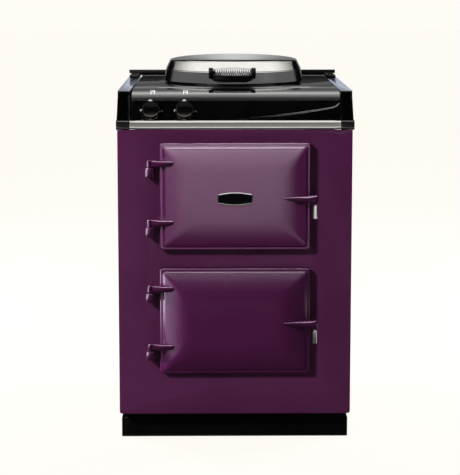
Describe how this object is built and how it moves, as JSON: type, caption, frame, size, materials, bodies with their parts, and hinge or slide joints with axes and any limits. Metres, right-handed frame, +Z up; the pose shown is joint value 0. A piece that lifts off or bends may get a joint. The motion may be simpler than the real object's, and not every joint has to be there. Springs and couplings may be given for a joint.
{
  "type": "cast iron range cooker",
  "caption": "Compact enamelled cast iron range cooker: ovens behind pillow-shaped doors, a hotplate under a hinged domed lid, sloped knob fascia, hand rail and plinth.",
  "frame": {"origin": "on the floor, under the centre of the cooker's overall box", "axes": "+Z up, -Y out of the doors towards the user, +X to the user's right"},
  "size_m": [0.6, 0.668, 0.992],
  "materials": {
    "purple_enamel": "gloss",
    "black_enamel": "gloss",
    "black_trim": "satin",
    "polished_steel": "gloss",
    "chrome": "polished",
    "black_plastic": "gloss",
    "raw_iron": "matte",
    "galvanised": "satin",
    "pale_fibre": "matte",
    "rope": "matte"
  },
  "bodies": {
    "cabinet": {"base_frame": "black_trim", "levelling_foot_1": "galvanised", "levelling_foot_2": "galvanised", "levelling_foot_3": "galvanised", "levelling_foot_4": "galvanised", "plinth_cover": "black_trim", "front_panel": "purple_enamel", "side_panel_left": "purple_enamel", "side_panel_right": "purple_enamel", "back_panel": "galvanised", "insulation": "pale_fibre", "upper_oven": "raw_iron", "upper_oven_shelf": "polished_steel", "upper_oven_element": "raw_iron", "lower_oven": "raw_iron", "lower_oven_shelf": "polished_steel", "lower_oven_element": "raw_iron", "upper_hinge_bracket_top": "purple_enamel", "upper_hinge_pin_top": "polished_steel", "upper_hinge_bracket_bottom": "purple_enamel", "upper_hinge_pin_bottom": "polished_steel", "lower_hinge_bracket_top": "purple_enamel", "lower_hinge_pin_top": "polished_steel", "lower_hinge_bracket_bottom": "purple_enamel", "lower_hinge_pin_bottom": "polished_steel", "fascia": "black_enamel", "side_trim_left": "black_enamel", "side_trim_right": "black_enamel", "hand_rail": "polished_steel", "rail_end_left": "black_trim", "rail_end_right": "black_trim", "left_switch": "black_plastic", "right_switch": "black_plastic", "top_plate": "black_enamel", "hotplate": "raw_iron", "hotplate_element": "raw_iron", "rear_upstand": "black_trim", "lid_hinge_bracket_left": "black_trim", "lid_hinge_bracket_right": "black_trim", "lid_hinge_pin": "polished_steel", "terminal_box": "black_plastic", "cable_gland": "black_plastic"},
    "lid": {"lid_shell": "chrome", "lid_liner": "polished_steel", "lid_insulation": "pale_fibre", "lid_handle_bracket": "black_trim", "lid_handle_rod": "chrome", "lid_handle_coil": "chrome", "lid_hinge_arm": "black_trim"},
    "upper_door": {"upper_door_shell": "purple_enamel", "upper_door_liner": "polished_steel", "upper_door_seal": "rope", "upper_door_grip": "polished_steel", "door_badge": "chrome"},
    "lower_door": {"lower_door_shell": "purple_enamel", "lower_door_liner": "polished_steel", "lower_door_seal": "rope", "lower_door_grip": "polished_steel"},
    "left_control": {"left_knob": "black_plastic"},
    "right_control": {"right_knob": "black_plastic"}
  },
  "joints": [
    {"name": "lid_hinge", "type": "hinge", "parent": "cabinet", "child": "lid", "pos_m": [0, 0.27, 0.94], "axis": [-1, 0, 0], "range_deg": [0, 85]},
    {"name": "upper_door_hinge", "type": "hinge", "parent": "cabinet", "child": "upper_door", "pos_m": [-0.217, -0.308, 0.648], "axis": [0, 0, -1], "range_deg": [0, 110]},
    {"name": "lower_door_hinge", "type": "hinge", "parent": "cabinet", "child": "lower_door", "pos_m": [-0.217, -0.308, 0.325], "axis": [0, 0, -1], "range_deg": [0, 110]},
    {"name": "left_knob_turn", "type": "hinge", "parent": "cabinet", "child": "left_control", "pos_m": [-0.214, -0.29588, 0.8673], "axis": [0, 0.9511, -0.309], "range_deg": [0, 270]},
    {"name": "right_knob_turn", "type": "hinge", "parent": "cabinet", "child": "right_control", "pos_m": [-0.1285, -0.29588, 0.8673], "axis": [0, 0.9511, -0.309], "range_deg": [0, 270]}
  ]
}
